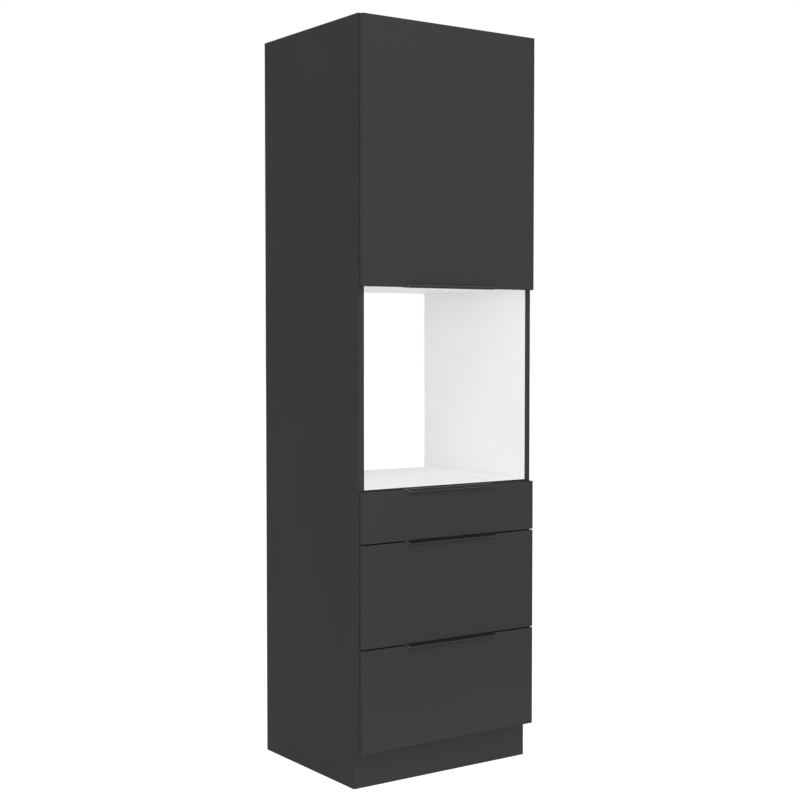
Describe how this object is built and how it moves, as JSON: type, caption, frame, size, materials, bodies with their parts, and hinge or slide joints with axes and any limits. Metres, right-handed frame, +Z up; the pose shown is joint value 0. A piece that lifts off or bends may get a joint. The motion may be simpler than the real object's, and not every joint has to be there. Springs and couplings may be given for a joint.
{
  "type": "tall oven cabinet",
  "caption": "Tall oven cabinet with a hinged cupboard on top, an open oven niche and stacked drawers on a recessed plinth.",
  "frame": {"origin": "on the floor, at the centre of the overall footprint, pulls included", "axes": "+X to the right seen from the front, +Y from the front to the back, +Z up"},
  "size_m": [0.6, 0.5352, 2.108],
  "materials": {
    "graphite_board": "graphite melamine, matt",
    "white_board": "white melamine, matt",
    "white_hardboard": "white painted hardboard, brown behind",
    "black_aluminium": "black anodised, satin",
    "zinc_steel": "bright zinc plating",
    "nickel_steel": "nickel plating, satin",
    "clear_plastic": "clear soft plastic"
  },
  "bodies": {
    "carcass": {"left_side_panel": "graphite_board", "right_side_panel": "graphite_board", "top_panel": "white_board", "niche_ceiling_panel": "white_board", "niche_floor_panel": "white_board", "bottom_panel": "white_board", "plinth_board": "graphite_board", "wall_fixing_rail": "white_board", "upper_back_panel": "white_hardboard", "lower_back_panel": "white_hardboard", "adjustable_shelf": "white_board", "shelf_pins": "nickel_steel", "upper_hinge_arm": "nickel_steel", "lower_hinge_arm": "nickel_steel", "upper_hinge_plate": "nickel_steel", "lower_hinge_plate": "nickel_steel", "lower_drawer_left_outer_slide": "zinc_steel", "lower_drawer_right_outer_slide": "zinc_steel", "middle_drawer_left_outer_slide": "zinc_steel", "middle_drawer_right_outer_slide": "zinc_steel", "upper_drawer_left_outer_slide": "zinc_steel", "upper_drawer_right_outer_slide": "zinc_steel"},
    "hinge_links": {"upper_hinge_link": "nickel_steel", "lower_hinge_link": "nickel_steel"},
    "door": {"door_panel": "graphite_board", "door_handle": "black_aluminium", "door_bumpers": "clear_plastic", "upper_hinge_cup": "nickel_steel", "lower_hinge_cup": "nickel_steel"},
    "lower_drawer": {"lower_drawer_front": "graphite_board", "lower_drawer_handle": "black_aluminium", "lower_drawer_left_side": "white_board", "lower_drawer_right_side": "white_board", "lower_drawer_back": "white_board", "lower_drawer_bottom": "white_hardboard", "lower_drawer_left_inner_slide": "zinc_steel", "lower_drawer_right_inner_slide": "zinc_steel"},
    "lower_drawer_middle_slides": {"lower_drawer_left_middle_slide": "zinc_steel", "lower_drawer_right_middle_slide": "zinc_steel"},
    "middle_drawer": {"middle_drawer_front": "graphite_board", "middle_drawer_handle": "black_aluminium", "middle_drawer_left_side": "white_board", "middle_drawer_right_side": "white_board", "middle_drawer_back": "white_board", "middle_drawer_bottom": "white_hardboard", "middle_drawer_left_inner_slide": "zinc_steel", "middle_drawer_right_inner_slide": "zinc_steel"},
    "middle_drawer_middle_slides": {"middle_drawer_left_middle_slide": "zinc_steel", "middle_drawer_right_middle_slide": "zinc_steel"},
    "upper_drawer": {"upper_drawer_front": "graphite_board", "upper_drawer_handle": "black_aluminium", "upper_drawer_left_side": "white_board", "upper_drawer_right_side": "white_board", "upper_drawer_back": "white_board", "upper_drawer_bottom": "white_hardboard", "upper_drawer_left_inner_slide": "zinc_steel", "upper_drawer_right_inner_slide": "zinc_steel"},
    "upper_drawer_middle_slides": {"upper_drawer_left_middle_slide": "zinc_steel", "upper_drawer_right_middle_slide": "zinc_steel"}
  },
  "joints": [
    {"name": "door_hinge", "type": "hinge", "parent": "hinge_links", "child": "door", "pos_m": [0.2875, -0.24325, 1.74175], "axis": [0, 0, 1], "range_deg": [0, 129]},
    {"name": "hinge_link_swing", "type": "hinge", "parent": "carcass", "child": "hinge_links", "pos_m": [0.269, -0.22925, 1.74175], "axis": [0, 0, 1], "range_deg": [-29.01, 0]},
    {"name": "lower_drawer_slide", "type": "slide", "parent": "carcass", "child": "lower_drawer", "axis": [0, -1, 0], "range_m": [0, 0.44]},
    {"name": "lower_drawer_middle_slide_travel", "type": "slide", "parent": "carcass", "child": "lower_drawer_middle_slides", "axis": [0, -1, 0], "range_m": [0, 0.22]},
    {"name": "middle_drawer_slide", "type": "slide", "parent": "carcass", "child": "middle_drawer", "axis": [0, -1, 0], "range_m": [0, 0.44]},
    {"name": "middle_drawer_middle_slide_travel", "type": "slide", "parent": "carcass", "child": "middle_drawer_middle_slides", "axis": [0, -1, 0], "range_m": [0, 0.22]},
    {"name": "upper_drawer_slide", "type": "slide", "parent": "carcass", "child": "upper_drawer", "axis": [0, -1, 0], "range_m": [0, 0.44]},
    {"name": "upper_drawer_middle_slide_travel", "type": "slide", "parent": "carcass", "child": "upper_drawer_middle_slides", "axis": [0, -1, 0], "range_m": [0, 0.22]}
  ],
  "couplings": [
    {"joint": "hinge_link_swing", "follows": "door_hinge", "ratio": -0.22481},
    {"joint": "lower_drawer_middle_slide_travel", "follows": "lower_drawer_slide", "ratio": 0.5},
    {"joint": "middle_drawer_middle_slide_travel", "follows": "middle_drawer_slide", "ratio": 0.5},
    {"joint": "upper_drawer_middle_slide_travel", "follows": "upper_drawer_slide", "ratio": 0.5}
  ]
}
